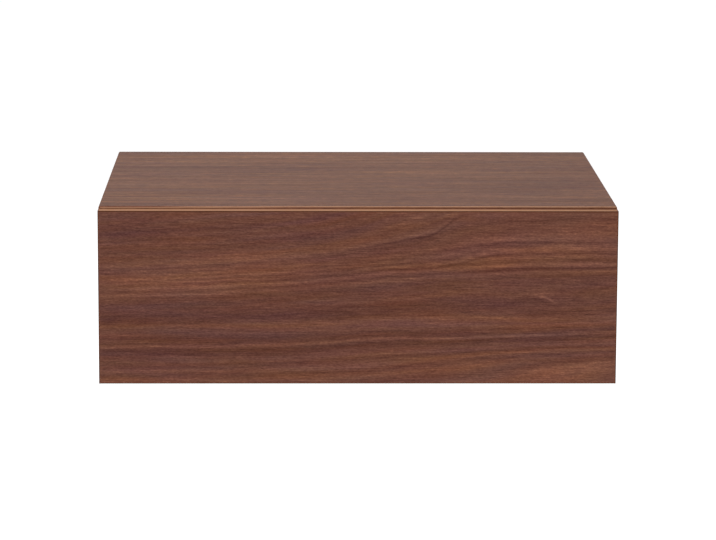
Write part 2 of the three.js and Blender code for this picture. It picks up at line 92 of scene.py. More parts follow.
# Studio: an even white room, with broad soft lamps in front on both sides, and one behind. The floor is
# a plain pale sheet well below the hanging box, and takes its shadow.
class Field:
    """A value that changes over a surface: one shader socket, on which arithmetic adds its nodes."""

    def __init__(self, finish, socket):
        self.finish = finish
        self.socket = socket

    def __add__(self, other):
        return self.finish.maths("ADD", self, other)

    def __sub__(self, other):
        return self.finish.maths("SUBTRACT", self, other)

    def __rsub__(self, other):
        return self.finish.maths("SUBTRACT", other, self)

    def __mul__(self, other):
        return self.finish.maths("MULTIPLY", self, other)

    def __truediv__(self, other):
        return self.finish.maths("DIVIDE", self, other)

    def __pow__(self, other):
        return self.finish.maths("POWER", self, other)

    def __neg__(self):
        return self.finish.maths("MULTIPLY", self, -1)

    __radd__ = __add__
    __rmul__ = __mul__


class Finish:
    """The node tree of one finish, or of the room's light, with one method that adds any node to it."""

    def __init__(self, owner, shader="Principled BSDF", **even):
        owner.use_nodes = True
        self.owner = owner
        self.tree = owner.node_tree
        self.shader = self.tree.nodes[shader]
        for socket, value in even.items():
            self.shader.inputs[socket.replace("_", " ")].default_value = value

    def node(self, kind, settings, inputs, output=0):
        """A node with its settings, the values or fields of its sockets, and the field that it gives. A
        new ramp has a stop at either end, which the first and last of its stops take."""
        made = self.tree.nodes.new("ShaderNode" + kind)
        settings = dict(settings)
        stops = settings.pop("stops", ())
        for index, (place, tint) in enumerate(stops):
            marks = made.color_ramp.elements
            if index == 0:
                stop = marks[0]
            elif index == len(stops) - 1:
                stop = marks[-1]
            else:
                stop = marks.new(place)
            stop.color = (*tint, 1)
        if stops:
            made.color_ramp.interpolation = settings.pop("between", "LINEAR")
        for key, value in settings.items():
            setattr(made, key, value)
        for key, value in inputs.items():
            if isinstance(value, Field):
                self.tree.links.new(value.socket, made.inputs[key])
            else:
                made.inputs[key].default_value = value
        return Field(self, made.outputs[output])

    def maths(self, operation, *values):
        """A Math node, of which each value is a number or a field."""
        return self.node("Math", {"operation": operation}, dict(enumerate(values)))

    def feed(self, **fields):
        """Links fields to the shader's sockets of these names."""
        for socket, field in fields.items():
            self.tree.links.new(field.socket, self.shader.inputs[socket.replace("_", " ")])

    def colour_so_far(self):
        """The field that feeds the base colour until now."""
        return Field(self, self.shader.inputs["Base Color"].links[0].from_socket)

    def seen_directly(self):
        """1 for light that goes straight, by gloss or through glass to the camera, and 0 for the rest."""
        kinds = ("Camera", "Glossy", "Transmission")
        rays = [self.node("LightPath", {}, {}, f"Is {kind} Ray") for kind in kinds]
        return self.maths("MAXIMUM", rays[0], self.maths("MAXIMUM", rays[1], rays[2]))


room_light = 0.66
room = bpy.data.worlds.new("room")
bpy.context.scene.world = room
room_finish = Finish(room, "Background", Color=(1, 1, 1, 1))
room_finish.feed(Strength=room_finish.seen_directly() * (1 - room_light) + room_light)

lamp_width = 2.0


def soft_lamp(name, place, target, watts):
    """A broad square lamp at a place in metres, turned to look at a target."""
    data = bpy.data.lights.new(name, "AREA")
    data.shape = "SQUARE"
    data.size = lamp_width
    data.energy = watts
    lamp = bpy.data.objects.new(name, data)
    lamp.location = place
    aim = np.array(target) - np.array(place)
    lamp.rotation_euler = (math.atan2(math.hypot(aim[0], aim[1]), -aim[2]), 0, math.atan2(-aim[0], aim[1]))
    bpy.context.scene.collection.objects.link(lamp)


soft_lamp("lamp_front_left", (-1.6, -2.4, 1.5), target=(0, -0.2, 0), watts=27)
soft_lamp("lamp_front_right", (2.1, -2.2, 0.8), target=(0, -0.2, 0), watts=14)
soft_lamp("lamp_behind", (-0.15, 2.4, 1.6), target=(0, -0.1, 0), watts=18)

floor_drop = 0.42
floor_reach = 16.0
floor_glow = 0.5
floor_white = (0.78, 0.78, 0.78, 1)
floor_height = cad_box[0][2] - floor_drop
floor_mesh = bpy.data.meshes.new("floor")
floor_corners = [(-1, -1), (1, -1), (1, 1), (-1, 1)]
floor_points = [(x * floor_reach, y * floor_reach, floor_height) for x, y in floor_corners]
floor_mesh.from_pydata(floor_points, [], [(0, 1, 2, 3)])
floor = bpy.data.objects.new("floor", floor_mesh)
bpy.context.scene.collection.objects.link(floor)
floor_paint = Finish(
    bpy.data.materials.new("floor_paint"),
    Base_Color=floor_white,
    Roughness=1,
    Specular_IOR_Level=0,
    Emission_Color=(1, 1, 1, 1),
)
floor_paint.feed(Emission_Strength=floor_paint.seen_directly() * floor_glow)
floor_mesh.materials.append(floor_paint.owner)


# Wall cleat: a planed pine batten with its upper edge sawn to 45 degrees, screwed to the wall through
# four countersunk holes. The case hooks over it.
planed_arris = 0.0008
# Edges that bend less than this are facets of a curve, and are shaded smooth.
bend_limit = math.radians(35)


def bell(value, middle, width):
    """A rounded bump: e to the power of minus the squared distance from the middle, in widths."""
    return value.finish.maths("EXPONENT", -(((value - middle) / width) ** 2))


def rise(value, low, high):
    """0 below low and 1 above high, with a smooth S between: three times t squared less twice t cubed."""
    if isinstance(value, Field):
        limits = {"Value": value, "From Min": low, "From Max": high}
        return value.finish.node("MapRange", {"interpolation_type": "SMOOTHSTEP"}, limits)
    share = np.clip((value - low) / (high - low), 0, 1)
    return share * share * (3 - 2 * share)


def screen_colour(red, green, blue):
    """A colour read as 0 to 255 on a screen, as the linear light that shaders use."""
    shares = [value / 255 for value in (red, green, blue)]
    return tuple(c / 12.92 if c <= 0.04045 else ((c + 0.055) / 1.055) ** 2.4 for c in shares)


def place_mm(finish):
    """The point on the piece in millimetres, as three fields."""
    spot = finish.node("TexCoord", {}, {}, "Object")
    return [finish.node("SeparateXYZ", {}, {0: spot}, axis) * 1000 for axis in range(3)]


def facing(finish, axis):
    """1 where a face looks along an axis, either way, and 0 where it lies along it."""
    normal = finish.node("TexCoord", {}, {}, "Normal")
    return finish.maths("ABSOLUTE", finish.node("SeparateXYZ", {}, {0: normal}, axis))


def mixed(share, first, second, blend="MIX"):
    """One colour blended into another, each a colour in linear light or a colour socket."""
    colours = [tint if isinstance(tint, Field) else (*tint, 1) for tint in (first, second)]
    settings = {"data_type": "RGBA", "blend_type": blend, "clamp_factor": True}
    return share.finish.node("Mix", settings, {0: share, 6: colours[0], 7: colours[1]}, 2)


def graded(share, *tints):
    """Colours at even steps of a share that runs from 0 to 1."""
    stops = [(step / (len(tints) - 1), screen_colour(*tint)) for step, tint in enumerate(tints)]
    return share.finish.node("ValToRGB", {"stops": stops}, {0: share})


def cells(along, across, third, length, breadth, seed, detail=2.0):
    """Noise from about -1 to 1, in cells of that length and breadth, in millimetres."""
    spot = {"X": along / length + seed, "Y": across / breadth + seed, "Z": third / breadth + seed}
    finish = along.finish
    vector = finish.node("CombineXYZ", {}, spot)
    noise_inputs = {"Vector": vector, "Detail": detail, "Roughness": 0.5, "Scale": 1.0}
    middle, to_ones = 0.5, 3.2
    return (finish.node("TexNoise", {}, noise_inputs) - middle) * to_ones


def relief(height, millimetres):
    """A height field, of which 1 stands that many millimetres proud, as a normal."""
    bump = {"Strength": 1.0, "Distance": millimetres / 1000, "Height": height}
    return height.finish.node("Bump", {}, bump)


def named_finish(name, **even):
    """A new finish, with what is the same all over it set on its shader's own sockets."""
    return Finish(bpy.data.materials.new(name), **even)


def solid_wood(name, along, pith, ring, tints, ring_share, **even):
    """Sawn wood: rings round a pith that runs along one axis, each paling inwards from its dark late
    wood, with fibres along the axis. Faces across the axis show end grain, which is darker."""
    finish = named_finish(name, **even)
    spot = place_mm(finish)
    length = spot[along]
    side, height = [spot[axis] for axis in range(3) if axis != along]
    wander = cells(length, side, height, 260, 45, seed=3.0, detail=1.0)
    radius = ((side - pith[0]) ** 2 + (height - pith[1]) ** 2) ** 0.5 + wander * ring * 0.8
    uneven = cells(length / 50, radius, radius * 0, 900, ring * 2.2, seed=9.0, detail=1.0)
    turns = finish.maths("FRACT", radius / ring + uneven * 0.5)
    late = turns**3
    fibres = cells(length, side, height, 24, 0.5, seed=17.0)
    cloud = cells(length, side, height, 150, 9, seed=23.0)
    end = rise(facing(finish, along), 0.6, 0.9)
    shade = late * ring_share + fibres * 0.1 + cloud * 0.14 + end * 0.46 + 0.18
    grit = cells(length, side, height, 4, 0.45, seed=29.0, detail=1.0)
    finish.feed(
        Base_Color=graded(shade + grit * end * 0.18, *tints),
        Roughness=0.62 + fibres * 0.05 + end * 0.15,
        Normal=relief(fibres * 0.5 + late * 0.5 + grit * end, 0.03),
    )
    return finish


def in_place_of(node, mesh):
    """An object with this mesh, which takes the place of a CAD node on the node's own body."""
    piece = bpy.data.objects.new(mesh.name, mesh)
    bpy.context.scene.collection.objects.link(piece)
    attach(piece, frame["nodes"][node]["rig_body"])
    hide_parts(node)
    return piece


def eased_copy(node, finish, width=0.0):
    """A CAD solid in its finish. Its loose triangles are joined into whole faces, and where a width is
    given, in metres, every edge sharper than a bend's facets is rounded over by it."""
    mesh = bpy.data.meshes.new(node + "_eased")
    shape = bmesh.new()
    shape.from_mesh(frame["nodes"][node].data)
    bmesh.ops.remove_doubles(shape, verts=shape.verts, dist=2e-6)
    bmesh.ops.dissolve_limit(shape, angle_limit=0.01, verts=shape.verts, edges=shape.edges)
    for face in shape.faces:
        face.smooth = True
    shape.to_mesh(mesh)
    shape.free()
    mesh.materials.clear()
    mesh.materials.append(finish.owner)
    mesh.set_sharp_from_angle(angle=bend_limit)
    piece = in_place_of(node, mesh)
    if width:
        rounding = piece.modifiers.new("rounding", "BEVEL")
        rounding.width = width
        rounding.segments = 3
        rounding.limit_method = "ANGLE"
        rounding.angle_limit = bend_limit
        rounding.harden_normals = True


pine_tints = [(226, 190, 136), (210, 165, 106), (186, 134, 78), (150, 98, 54)]
pine = {"tints": pine_tints, "Specular_IOR_Level": 0.25}
wall_pine = solid_wood("wall_pine", along=0, pith=(-60, -30), ring=3.4, ring_share=0.5, **pine)
eased_copy("wall_cleat", wall_pine, planed_arris)

# Case cleat and back panel: the matching pine hook, glued and screwed to a thin birch panel that sits
# in a groove round the case. The panel's faces are rotary-cut veneer and its edges show the plies.
case_pine = solid_wood("case_pine", along=0, pith=(70, 90), ring=2.7, ring_share=0.42, **pine)
eased_copy("case_cleat", case_pine, planed_arris)

ply_count = 5
fleck_tint = screen_colour(158, 118, 78)
ply_tints = (screen_colour(206, 172, 126), screen_colour(166, 124, 84))


def plywood(name, across, grain, plies, pale, dark):
    """Birch plywood: a broad wavy face figure along the grain's axis, and light and dark plies in turn
    across its edges, from a lowest place up through a thickness."""
    finish = named_finish(name, Specular_IOR_Level=0.3)
    spot = place_mm(finish)
    low, thickness = plies
    length = spot[grain]
    side = spot[3 - across - grain]
    figure = side + cells(length, side, spot[across], 300, 60, seed=41.0, detail=1.0) * 22
    waves = cells(length, figure, spot[across], 500, 10, seed=43.0)
    fibres = cells(length, side, spot[across], 26, 0.6, seed=47.0)
    flecks = rise(cells(length, side, spot[across], 3.2, 0.5, seed=53.0, detail=1.0), 0.55, 1.1)
    layer = finish.maths("FLOOR", (spot[across] - low) / thickness * ply_count)
    second = finish.maths("MODULO", finish.maths("ABSOLUTE", layer), 2)
    edge = rise(facing(finish, across), 0.9, 0.6)
    face = graded(waves * 0.3 + fibres * 0.14 + 0.5, dark, pale)
    plain = mixed(flecks * 0.3, face, fleck_tint)
    plies_shown = mixed(second, *ply_tints)
    finish.feed(
        Base_Color=mixed(edge, plain, plies_shown),
        Roughness=0.55 + fibres * 0.05,
        Normal=relief(fibres, 0.02),
    )
    return finish


panel_low, panel_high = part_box("back_panel")
panel_plies = (panel_low[1] * 1000, (panel_high[1] - panel_low[1]) * 1000)
panel_tints = {"pale": (222, 190, 146), "dark": (198, 160, 114)}
eased_copy("back_panel", plywood("birch_panel", across=1, grain=0, plies=panel_plies, **panel_tints))

# Case boards: four 16 mm particle boards faced with walnut veneer and folded together at mitres, so
# that the top's grain runs on down both sides. The long corners are eased with abrasive paper.
walnut_tints = [(68, 37, 27), (83, 48, 38), (98, 61, 49), (115, 75, 60), (136, 91, 71), (163, 114, 85)]
golden_shift = (4, 1, -5)
reddening = (1.02, 0.92, 0.97)
pore_tint = screen_colour(44, 24, 21)


def walnut(finish, along, across, rings, tone, seed, lift=(1, 1, 1), strength=1.0, ringed=1.0, warmth=None):
    """Walnut veneer: bands and narrower lines that follow the rings, and streaks, short fibres and fine
    dark pores that lie straight along the board. Tone lightens or darkens the wood by place. Warmth
    turns it golden in broad patches, and others are redder."""
    flat = across * 0
    bands = cells(along, rings, flat, 330, 9, seed=seed, detail=1.0)
    lines = cells(along, rings, flat, 120, 2.4, seed=seed + 3.1)
    streaks = cells(along, across, flat, 45, 1.5, seed=seed + 7.7, detail=1.0)
    fibres = cells(along, across, flat, 14, 0.8, seed=seed + 11.9, detail=1.0)
    grit = cells(along, across, flat, 2.4, 0.8, seed=seed + 13.3, detail=1.0)
    level = (bands * 0.13 + lines * 0.21) * (strength * ringed) + tone
    level = level + (streaks * 0.21 + fibres * 0.32 + grit * 0.34) * strength
    pores = rise(cells(along, across, flat, 6, 0.6, seed=seed + 17.3, detail=1.0), 0.25, 1.0)
    golden = cells(along, rings, flat, 110, 8, seed=seed + 19.1) * 0.6 + (warmth or tone) * 0.8 + 0.5
    redder = cells(along, rings, flat, 60, 6, seed=seed + 23.3) * 0.8 + 0.45
    ends = []
    for turn in (-1, 1):
        turned = [[c + g * turn for c, g in zip(tint, golden_shift)] for tint in walnut_tints]
        tints = [[c * share for c, share in zip(tint, lift)] for tint in turned]
        ends.append(graded(level * 0.5 + 0.53, *tints))
    wood = mixed(redder, mixed(golden, *ends), reddening, blend="MULTIPLY")
    finish.feed(
        Base_Color=mixed(pores * 0.45, wood, pore_tint),
        Roughness=0.74 + fibres * 0.03 + pores * 0.1,
        Normal=relief(fibres * 0.3 - pores, 0.035),
    )


# The growth rings met going up across the grain: the height of each pale or dark line, and its tone.
growth_rings = [
    (-14, 0.0), (-6.8, 0.12), (-3.6, -0.13), (2.8, 0.06), (6.4, -0.12), (10.4, 0.15), (16, -0.1),
    (18.4, 0.08), (22, 0.07), (26.4, -0.15), (29.6, -0.2), (32.3, 0.24), (34.8, -0.15), (38.8, -0.1),
    (43.6, 0.13), (47.6, 0.06), (50, 0.12), (54, -0.09), (61.2, -0.08), (65.2, 0.05), (70.4, -0.06),
    (74.4, -0.08), (77.2, 0.18), (79.6, -0.16), (82.4, 0.22), (84.4, -0.16), (86.8, 0.13), (88.4, -0.1),
    (90.4, 0.13), (92, -0.09), (94, 0.1), (95.6, -0.05), (97.2, 0.05), (99.2, -0.11), (101.6, 0.1),
    (105.6, 0.05), (108.4, -0.04), (110.8, 0.04), (113.2, -0.09), (117.6, -0.04), (120.4, 0.06),
    (124, -0.05), (127, 0.03), (130.8, -0.07), (139.6, 0.05), (150, 0.0),
]


def ring_tone(height):
    """The tone of the rings at a height across the grain: an eased curve through the table, in two
    ramps, because one holds 32 marks. Each stays level past its own end, and its greys are the tones
    set round a middle grey."""
    middle = len(growth_rings) // 2
    grey = 0.5
    total = -growth_rings[middle][1]
    for marks in (growth_rings[: middle + 1], growth_rings[middle:]):
        low, high = marks[0][0], marks[-1][0]
        stops = [((place - low) / (high - low), (grey + tone,) * 3) for place, tone in marks]
        share = (height - low) / (high - low)
        ramp = height.finish.node("ValToRGB", {"stops": stops, "between": "EASE"}, {0: share})
        total = ramp - grey + total
    return total


case_low = [value * 1000 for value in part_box("case_left")[0]]
case_high = [value * 1000 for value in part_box("case_right")[1]]
walnut_even = {"Specular_IOR_Level": 0.1}
veneer_thickness = 0.7
board_thickness = case_high[0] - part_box("slide_outer_right")[1][0] * 1000
# The case's sheet is a little paler and more golden than the front's.
case_lift = (1.045, 1.11, 1.06)
# Its light and dark patches: where along and across the grain, reach along and across it, and tone.
top_patches = [
    (-170, -300, 70, 14, 0.12),
    (-120, -250, 90, 9, -0.14),
    (10, -272, 50, 16, -0.12),
    (140, -252, 60, 9, -0.16),
    (160, -285, 60, 8, 0.12),
    (175, -205, 60, 24, -0.2),
    (70, -145, 70, 10, 0.18),
    (0, -110, 200, 14, -0.12),
    (180, -100, 60, 16, -0.12),
    (0, -40, 240, 26, 0.16),
    (-60, -226, 50, 8, 0.08),
    (-240, -200, 170, 220, -0.05),
]
arch_middle = {"left": -150, "right": -215}
arch_depth, arch_pace, drop_pace, arch_start = 24, 0.8, 0.16, 20
chip_tints = [(108, 78, 50), (168, 136, 98), (212, 184, 144)]
core_blur = 0.1


def case_veneer(side):
    """The wrap of one board. Along the grain one sheet runs down the left side, over the top and down
    the right, and the bottom comes from elsewhere on it. Down the sides the rings are pointed arches:
    their place in the table is the root of the squared distance from a middle line plus a squared
    depth, and it grows with the drop. A cut back edge shows chips between two veneer lines."""
    finish = named_finish(f"walnut_case_{side}", **walnut_even)
    x, y, z = place_mm(finish)
    half, low, high = case_high[0], case_low[2], case_high[2]
    elsewhere = 9 * half
    along = {"top": x, "right": high + half - z, "left": z - high - half, "bottom": x + elsewhere}[side]
    inward = {"top": high - z, "right": half - x, "left": x + half, "bottom": z - low}[side]
    sway = cells(along, y, y * 0, 240, 80, seed=5.5, detail=1.0) * 4
    mottle = cells(along, y, y * 0, 9, 5, seed=8.8, detail=1.0)
    tone = mottle * 0.2 - 0.02
    for across, deep, reach, breadth, strength in top_patches:
        tone = tone + bell(along, across, reach) * bell(y, deep, breadth) * strength
    upright = side in ("left", "right")
    if upright:
        drop = high - z
        from_middle = ((y - arch_middle[side]) ** 2 + arch_depth**2) ** 0.5
        ring = from_middle * arch_pace + drop * drop_pace + sway - arch_start
        tone = tone + ring_tone(ring) * rise(drop, 0, 60) * 0.95
    ringed = 1.0 if upright else 2.3
    walnut(finish, along, y, y + sway, tone, seed=2.0, lift=case_lift, strength=0.95, ringed=ringed)
    faced = finish.colour_so_far()
    chips = cells(along, inward, y, 2.6, 0.9, seed=31.0, detail=3.0)
    dust = cells(along, inward, y, 0.8, 0.8, seed=37.0)
    core = graded(chips * 0.5 + dust * 0.2 + 0.5, *chip_tints)
    core_end = board_thickness - veneer_thickness
    in_core = rise(inward, veneer_thickness - core_blur, veneer_thickness + core_blur)
    in_core = in_core * rise(inward, core_end + core_blur, core_end - core_blur)
    at_back = rise(y, -30, -20)
    cut_edge = rise(facing(finish, 1), 0.8, 0.95) * in_core * at_back
    finish.feed(Base_Color=mixed(cut_edge, faced, core))
    return finish


for side in ("top", "right", "left", "bottom"):
    eased_copy(f"case_{side}", case_veneer(side))

# Case edge strips: 1 mm walnut strips glued on the four front edges. Along the top one's arris a pale
# line is a painted highlight, with painted shade in a dark line under it.
sanded_arris = 0.0003
strip_slant = 0.7
# Pale tints of the painted highlight on the top strip's arris.
arris_highlight_tints = [(166, 122, 94), (190, 144, 114), (204, 160, 128)]
# Dark tints for the strips' darker lines, and for painted shade and shadow.
dark_and_shade_tints = [(64, 29, 14), (77, 37, 19), (91, 47, 27)]
highlight_width, highlight_fade = 0.62, 0.22
# How far below the top the painted highlight's edges lie. The upper one climbs from its place at the
# left, and the lower one falls from its place at the right, each over a stretch along the strip.
upper_edge, upper_climb, upper_stretch = 0.3, 1.2, (-190, -110)
lower_edge, lower_fall, lower_stretch = 0.38, 0.83, (-150, -40)
upper_blur, lower_blur = (-0.15, 0.15), (0.12, -0.12)
# The painted shade's dark line under the highlight: where it starts along the strip, its tone, and its
# upper and lower edges below the top.
shade_line_start, shade_line_tone = (-80, 60), 0.5
shade_line_upper, shade_line_lower = (0.35, 0.6), (1.5, 1.1)


def strip_finish(name, along, pale_and_highlight_share, dark_and_shade_share, pale_and_highlight_tints):
    """A walnut strip that is paler by one share, where its wood is paler or where a highlight is painted,
    and darker by another, where it is darker or where shade is painted. Its figure is read on a slant
    across the strip, so that all its faces show it."""
    finish = named_finish(name, **walnut_even)
    spot = place_mm(finish)
    other = spot[1] * strip_slant + spot[2 - along] * strip_slant
    walnut(finish, spot[along], other, other, other * 0 + 0.35, seed=51.0, strength=0.6)
    plain = finish.colour_so_far()
    fibres = cells(spot[along], other, other * 0, 22, 0.8, seed=57.0)
    pale = graded(fibres * 0.35 + 0.5, *pale_and_highlight_tints)
    dark = graded(fibres * 0.35 + 0.5, *dark_and_shade_tints)
    edged = mixed(pale_and_highlight_share(finish, *spot), plain, pale)
    finish.feed(Base_Color=mixed(dark_and_shade_share(finish, *spot), edged, dark))
    return finish


case_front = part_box("case_band_top")[0][1] * 1000


def painted_arris_highlight(finish, x, y, z):
    """A painted highlight: pale within a small square of the strip's top front arris, patchily along it.
    To the left the painted highlight leaves the arris and lies fainter and broader below it."""
    near_front = rise(y - case_front, highlight_width * 1.5, highlight_width)
    drop = case_high[2] - z
    upper = upper_edge - rise(x, *upper_stretch) * upper_climb
    slipped = rise(x, *reversed(lower_stretch))
    lower = slipped * lower_fall + lower_edge
    near_top = rise(drop - upper, *upper_blur) * rise(drop - lower, *lower_blur)
    patchy = cells(x, y * 0, z * 0, 45, 1, seed=61.0) * 0.2 + 0.95
    return near_front * near_top * patchy * (1 - slipped * highlight_fade)


def painted_shade_below_arris(finish, x, y, z):
    """Painted shade: dark in a line under the painted highlight on the arris, but for the left end."""
    drop = case_high[2] - z
    below_upper = rise(x, *shade_line_start) * rise(drop, *shade_line_upper)
    return below_upper * rise(drop, *shade_line_lower) * shade_line_tone


def nowhere(finish, x, y, z):
    """No share at all, for the strips with no painted highlight or shade."""
    return x * 0


for side in ("top", "bottom", "left", "right"):
    along_strip = 0 if side in ("top", "bottom") else 2
    shares = (painted_arris_highlight, painted_shade_below_arris) if side == "top" else (nowhere, nowhere)
    strip = strip_finish(f"walnut_case_strip_{side}", along_strip, *shares, arris_highlight_tints)
    eased_copy(f"case_band_{side}", strip, sanded_arris)

# Mitre splines: strips of thin birch plywood. Each is glued into a slot that is sawn across one of the
# four mitres, and keeps it from opening.
spline_tints = {"pale": (216, 184, 140), "dark": (190, 152, 108)}
spline_finish = plywood("birch_spline", across=0, grain=1, plies=(0, 3), **spline_tints)
for corner in ("top_left", "top_right", "bottom_left", "bottom_right"):
    eased_copy(f"mitre_spline_{corner}", spline_finish)


# Screws: zinc plated steel, with a wound thread and a cross recess. Those in the case's sides are
# countersunk, and the others have low round heads.
def clouded(name, tints, cloud_size, seed, roughness, swing=0.0, along=0, **even):
    """A plain finish between two tints, in faint clouds of a length and breadth in millimetres, the
    length along one axis. They swing the roughness too, where a swing is given."""
    finish = named_finish(name, Roughness=roughness, **even)
    spot = place_mm(finish)
    others = [spot[axis] for axis in range(3) if axis != along]
    cloud = cells(spot[along], *others, *cloud_size, seed=seed)
    finish.feed(Base_Color=graded(cloud * 0.3 + 0.5, *tints))
    if swing:
        finish.feed(Roughness=roughness + cloud * swing)
    return finish


zinc_tints = [(186, 188, 190), (214, 215, 214)]
zinc_bright = clouded("zinc_screw", zinc_tints, (3, 3), seed=71.0, roughness=0.3, swing=0.06, Metallic=1.0)
turn_steps = 64
turn_angles = np.linspace(0, 2 * np.pi, turn_steps + 1)
recess_shares = [0, 0.5]
face_shares = [0, 0.2, 0.4, 0.6, 0.75, 0.87, 0.95, 1]
recess_reach, recess_arm, recess_depth = 0.29, 0.3034, 1.4
cushion = 2.8
thread_core, thread_height, thread_flank = 0.7, 0.3, 3.2
thread_rows_per_turn = 8


def grid_faces(rows, columns):
    """The four corners of each cell of a grid of points that are numbered row by row."""
    corner = np.arange(rows * columns).reshape(rows, columns)
    return np.stack([corner[:-1, :-1], corner[1:, :-1], corner[1:, 1:], corner[:-1, 1:]], -1)


def computed_piece(node, points, faces, finishes, kinds=None):
    """A piece made of computed points, in millimetres, and of cells between them. Points that coincide
    are merged, which closes seams and poles, and only bends of under 35 degrees are shaded smooth."""
    mesh = bpy.data.meshes.new(node + "_computed")
    mesh.from_pydata((points.reshape(-1, 3) / 1000).tolist(), [], faces.reshape(-1, 4).tolist())
    for finish in finishes:
        mesh.materials.append(finish.owner)
    if kinds is not None:
        mesh.polygons.foreach_set("material_index", kinds)
    shape = bmesh.new()
    shape.from_mesh(mesh)
    bmesh.ops.remove_doubles(shape, verts=shape.verts, dist=1e-6)
    bmesh.ops.recalc_face_normals(shape, faces=shape.faces)
    shape.to_mesh(mesh)
    shape.free()
    mesh.shade_smooth()
    mesh.set_sharp_from_angle(angle=bend_limit)
    in_place_of(node, mesh)


def turned_piece(node, radius, height, finish, axis, way, twist=0.0):
    """A turned piece: rows of radius and height, over angles, round the line through the middle of the
    CAD node's box. Height 0 is the seat, and way is 1 or -1 for which way along the axis height runs."""
    low, high = [np.array(corner) * 1000 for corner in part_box(node)]
    middle = (low + high) / 2
    top = high[axis] if way > 0 else low[axis]
    first, second = [other for other in range(3) if other != axis]
    points = np.zeros((*radius.shape, 3))
    points[..., axis] = top + (height - height.max()) * way
    points[..., first] = middle[first] + radius * np.cos(turn_angles + twist)
    points[..., second] = middle[second] + radius * np.sin(turn_angles + twist)
    computed_piece(node, points, grid_faces(*radius.shape), [finish])


def screw_shape(shank, length, head, head_height, tip, sunk):
    """Radius and height over rows down a screw and angles round it. The recess's outline is the smaller
    of its reach over the cosine, and 0.3 of it over the sine, of the angle from the nearest arm. A low
    head is a cushion: height times (1 - radius share to the 2.8) to the 1 / 2.8. The thread's ridge
    falls off on both sides of a line that winds down the shank by one pitch in each turn."""
    round_it = np.ones_like(turn_angles)
    from_arm = np.abs((turn_angles + np.pi / 4) % (np.pi / 2) - np.pi / 4)
    reach = head * recess_reach
    outline = np.minimum(reach / np.cos(from_arm), reach * recess_arm / np.maximum(np.sin(from_arm), 1e-6))
    face = outline + (head / 2 - outline) * np.array(face_shares)[:, None]
    fullness = np.maximum(1 - (face / (head / 2)) ** cushion, 0) ** (1 / cushion)
    crown = head_height * fullness * (not sunk)
    recess = np.array(recess_shares)[:, None] * outline
    recess_floor = np.full_like(recess, crown.max() - head_height * recess_depth)
    neck = shank * 0.4 * round_it
    neck_top = -2 * head_height if sunk else 0.0
    thread_top = neck_top - length * 0.16
    pitch = shank * 0.42
    rows = math.ceil((length + thread_top) / pitch * thread_rows_per_turn) + 1
    down = np.linspace(thread_top, -length, rows)[:, None]
    body = shank / 2 * np.clip((down + length) / tip, 0, 1)
    off_ridge = np.abs((down / pitch + turn_angles / (2 * np.pi)) % 1 - 0.5)
    ridge = np.clip(1 - off_ridge * thread_flank, 0, 1) * rise(thread_top - down, 0, pitch)
    thread = body * (thread_core + thread_height * ridge)
    neck_foot = thread_top + 0.01
    radius = np.vstack([recess, face, neck, neck, thread])
    height = np.vstack([recess_floor, crown, neck_top * round_it, neck_foot * round_it, down * round_it])
    return radius, height


cleat_screw = screw_shape(4, length=20, head=8, head_height=2.4, tip=3, sunk=False)
front_screw = screw_shape(4, length=20, head=9, head_height=2.4, tip=2, sunk=False)
case_screw = screw_shape(3.5, length=13, head=7, head_height=1.1, tip=2, sunk=True)
drawer_screw = screw_shape(3.5, length=11, head=7, head_height=2.2, tip=2, sunk=False)
for index in (1, 2, 3, 4):
    turned_piece(f"cleat_screw_{index}", *cleat_screw, zinc_bright, axis=1, way=-1, twist=index * 0.9)
    turned_piece(f"front_screw_{index}", *front_screw, zinc_bright, axis=1, way=1, twist=index * 0.7)

# Slides: three roll-formed members of zinc plated sheet, one in another, with punched slots. Steel
# balls in pressed cages run in the races between them, above and below.
zinc_sheet = named_finish("zinc_sheet", Metallic=1.0)
x, y, z = place_mm(zinc_sheet)
rolled = cells(y, x, z, 120, 0.7, seed=73.0)
spangle = cells(y, x, z, 5, 3, seed=79.0)
zinc_sheet.feed(
    Base_Color=graded(rolled * 0.15 + spangle * 0.15 + 0.5, (172, 176, 180), (206, 209, 211)),
    Roughness=0.33 + rolled * 0.05 + spangle * 0.03,
    Normal=relief(rolled, 0.004),
)
steel = {"along": 1, "Metallic": 1.0}
cage_tints = [(150, 154, 158), (196, 199, 201)]
cage_steel = clouded("cage_steel", cage_tints, (30, 1), seed=83.0, roughness=0.3, **steel)
ball_tints = [(186, 188, 190), (220, 221, 221)]
ball_steel = clouded("ball_steel", ball_tints, (2, 2), seed=85.0, roughness=0.1, swing=0.04, **steel)
stop_arris = 0.0006
stop_plastic = clouded("stop_plastic", [(22, 22, 24), (32, 32, 34)], (2, 2), seed=87.0, roughness=0.45)

bend_points = 9
round_end_points = 13
ball_steps = 12
web_shares = [0, 0.4, 0.75]
lip_degrees = [45, 0]


def bend(middle, radius, first, last):
    """Points in equal steps round part of a circle, from one angle in degrees to another."""
    angle = np.radians(np.linspace(first, last, bend_points))
    return np.column_stack([middle[0] + radius * np.cos(angle), middle[1] + radius * np.sin(angle)])


def web_edges(ends, openings):
    """Places along a strip, and how far above its middle line the web starts at each: at 0, or at the
    edge of an opening (place, length and height, with round ends). That is the root of half its height
    squared less the squared distance past its straight part."""
    rounds = np.cos(np.linspace(0, np.pi, round_end_points))
    marks = [np.array(ends, float)]
    for place, length, height in openings:
        for end in (-1, 1):
            marks.append(place + (length - height) / 2 * end + height / 2 * rounds)
    along = np.unique(np.round(np.concatenate(marks), 5))
    edge = np.zeros_like(along)
    for place, length, height in openings:
        past = np.maximum(np.abs(along - place) - (length - height) / 2, 0)
        edge = np.maximum(edge, np.sqrt(np.maximum((height / 2) ** 2 - past**2, 0)))
    # Rounding leaves a trace of height at an opening's end, where the two halves have to meet.
    trace = 0.01
    edge[edge < trace] = 0
    return along, edge


